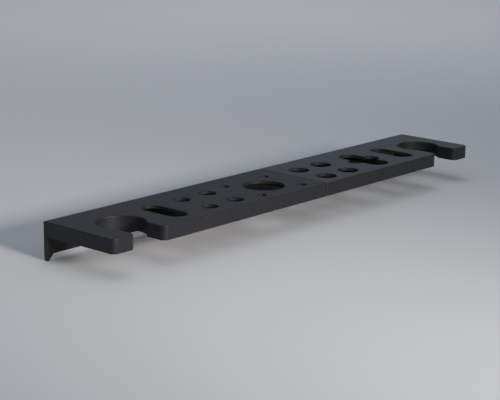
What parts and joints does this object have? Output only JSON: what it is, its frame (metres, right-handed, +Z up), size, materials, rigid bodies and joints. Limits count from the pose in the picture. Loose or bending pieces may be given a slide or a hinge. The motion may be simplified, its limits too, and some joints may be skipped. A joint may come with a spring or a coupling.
{
  "type": "tool holder strip",
  "caption": "Shallow wall shelf in two butted plastic sections, with open notches, slots and round holes for hanging hand tools, a rear flange and pegs for a perforated panel.",
  "frame": {"origin": "on the wall face at mid-length, at the height of the pegs", "axes": "+X along the strip to the right as seen from the front, +Y into the wall, +Z up; front towards -Y"},
  "size_m": [0.4, 0.0709, 0.0271],
  "materials": {
    "black_plastic": "black polypropylene, fine grain, satin"
  },
  "bodies": {
    "root": {"left_section": "black_plastic", "right_section": "black_plastic"}
  },
  "joints": []
}
